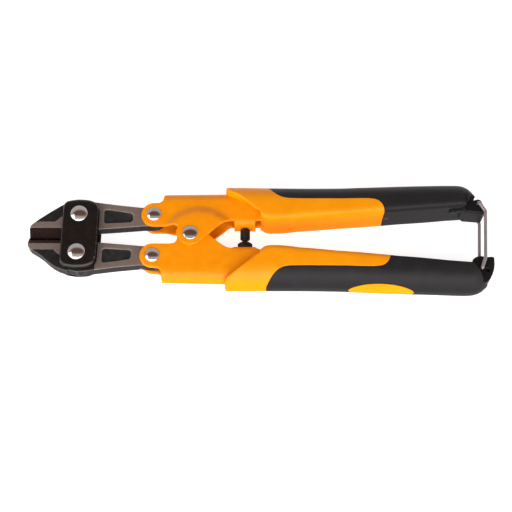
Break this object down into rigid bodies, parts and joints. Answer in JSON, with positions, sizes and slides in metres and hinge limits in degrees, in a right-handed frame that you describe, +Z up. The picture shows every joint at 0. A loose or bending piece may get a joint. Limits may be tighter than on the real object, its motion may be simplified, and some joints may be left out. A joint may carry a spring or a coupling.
{
  "type": "bolt cutters",
  "caption": "Compact bolt cutters: riveted lever head with bevelled jaws, pressed steel legs, two-colour moulded grips, stop screw and a swing-over wire latch.",
  "frame": {"origin": "on the resting plane under the middle of the closed and latched tool", "axes": "+X from the jaws towards the latch end, +Y towards the handle that carries the wire latch, +Z up through the flat tool as it lies"},
  "size_m": [0.2126, 0.0538, 0.0192],
  "materials": {
    "jaw_steel": "ground and black oxide forged steel",
    "plate_black": "gloss black",
    "rivet_chrome": "polished",
    "leg_paint": "satin powder coat",
    "spacer_steel": "turned",
    "screw_black": "black oxide",
    "sleeve_orange": "satin moulded",
    "grip_black": "soft matt",
    "inlay_orange": "soft satin",
    "latch_black": "satin moulded",
    "wire_steel": "bright drawn wire"
  },
  "bodies": {
    "lower_handle": {"lower_leg": "leg_paint", "lower_lug_rivet": "rivet_chrome", "main_pivot_rivet": "rivet_chrome", "pivot_spacer": "spacer_steel", "stop_locknut": "screw_black", "lower_grip_sleeve": "sleeve_orange", "lower_grip_overmould": "grip_black", "lower_palm_inlay": "inlay_orange", "lower_latch_hook": "latch_black"},
    "upper_handle": {"upper_leg": "leg_paint", "upper_lug_rivet": "rivet_chrome", "upper_grip_sleeve": "sleeve_orange", "upper_grip_overmould": "grip_black", "upper_palm_inlay": "inlay_orange", "upper_latch_block": "latch_black"},
    "lower_jaw": {"lower_jaw": "jaw_steel"},
    "head_plates": {"front_side_plate": "plate_black", "rear_side_plate": "plate_black", "upper_jaw_rivet": "rivet_chrome", "lower_jaw_rivet": "rivet_chrome"},
    "upper_jaw": {"upper_jaw": "jaw_steel"},
    "stop_screw": {"stop_screw": "screw_black"},
    "wire_bail": {"wire_bail": "wire_steel"}
  },
  "joints": [
    {"name": "handle_open", "type": "hinge", "parent": "lower_handle", "child": "upper_handle", "pos_m": [-0.0318, 0, 0.0096], "axis": [0, 0, 1], "range_deg": [0, 26]},
    {"name": "lower_jaw_turn", "type": "hinge", "parent": "lower_handle", "child": "lower_jaw", "pos_m": [-0.0489, -0.0102, 0.0096], "axis": [0, 0, 1], "range_deg": [0, 20]},
    {"name": "head_turn", "type": "hinge", "parent": "lower_jaw", "child": "head_plates", "pos_m": [-0.08305, -0.00945, 0.0096], "axis": [0, 0, 1], "range_deg": [-7, 0]},
    {"name": "upper_jaw_turn", "type": "hinge", "parent": "upper_handle", "child": "upper_jaw", "pos_m": [-0.0489, 0.0102, 0.0096], "axis": [0, 0, 1], "range_deg": [-20, 0]},
    {"name": "bail_swing", "type": "hinge", "parent": "upper_handle", "child": "wire_bail", "pos_m": [0.1009, 0.0164, 0.0096], "axis": [0, 0, 1], "range_deg": [0, 140]},
    {"name": "stop_adjust", "type": "slide", "parent": "lower_handle", "child": "stop_screw", "axis": [0, 1, 0], "range_m": [-0.0008, 0]}
  ],
  "couplings": [
    {"joint": "lower_jaw_turn", "follows": "handle_open", "ratio": 0.764},
    {"joint": "head_turn", "follows": "handle_open", "ratio": -0.264},
    {"joint": "upper_jaw_turn", "follows": "handle_open", "ratio": -0.764}
  ]
}
